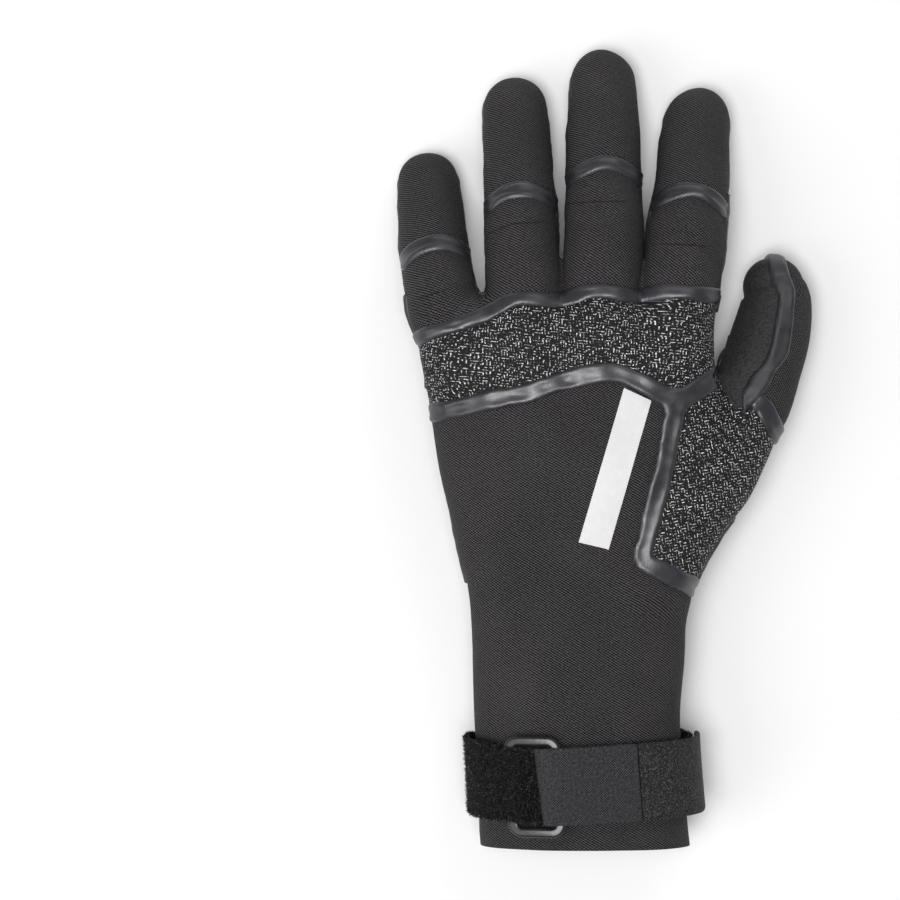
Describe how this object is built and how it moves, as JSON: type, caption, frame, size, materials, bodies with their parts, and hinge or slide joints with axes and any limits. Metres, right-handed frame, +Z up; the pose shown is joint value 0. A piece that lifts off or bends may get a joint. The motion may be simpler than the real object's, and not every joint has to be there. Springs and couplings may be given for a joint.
{
  "type": "diving glove",
  "caption": "Pre-curved left-hand neoprene diving glove of glued panels with rubber-taped seams, grip palm and a hook-and-loop wrist strap through a plastic ring",
  "frame": {"origin": "on the surface that the glove lies on, under the middle of its bounding box", "axes": "+Y from the cuff to the fingertips, +Z up out of the back of the hand, +X towards the thumb"},
  "size_m": [0.1554, 0.296, 0.0589],
  "materials": {
    "jersey": "fine matte nylon jersey laminated to neoprene",
    "knit": "coarse blocky knit with silver-grey flecks on black",
    "palm_grip": "matte rubber-printed grip cloth with a pebbled grain",
    "seam_rubber": "satin liquid-rubber seam bead, slightly uneven",
    "strap_fleece": "loop fleece, deep matte black",
    "strap_webbing": "tight ribbed nylon webbing",
    "strap_hooks": "hook tape with fine hooks, sewn along its edges",
    "ring_plastic": "moulded plastic with a soft gloss",
    "label": "flat transfer print, semi-matte",
    "print": "flat transfer print, semi-matte, left plain"
  },
  "bodies": {
    "root": {"back_panel": "jersey", "back_print": "print", "back_tape": "seam_rubber", "edge_tape": "seam_rubber", "index_back_panel": "jersey", "index_tape": "seam_rubber", "index_tip_panel": "jersey", "knuckle_panel": "knit", "knuckle_tape": "seam_rubber", "middle_back_panel": "jersey", "middle_tape": "seam_rubber", "middle_tip_panel": "jersey", "palm_panel": "palm_grip", "palm_tape": "seam_rubber", "pinky_back_panel": "jersey", "pinky_tape": "seam_rubber", "pinky_tip_panel": "jersey", "ring_back_panel": "jersey", "ring_tape": "seam_rubber", "ring_tip_panel": "jersey", "strap_hook_tab": "strap_hooks", "strap_keeper_palm_side": "strap_webbing", "strap_keeper_thumb_side": "strap_webbing", "strap_pile": "strap_fleece", "strap_ring": "ring_plastic", "strap_webbing": "strap_webbing", "thumb_back_panel": "jersey", "thumb_gusset_panel": "knit", "thumb_palm_panel": "palm_grip", "thumb_tape": "seam_rubber", "wrist_label": "label", "wrist_panel": "knit"}
  },
  "joints": []
}
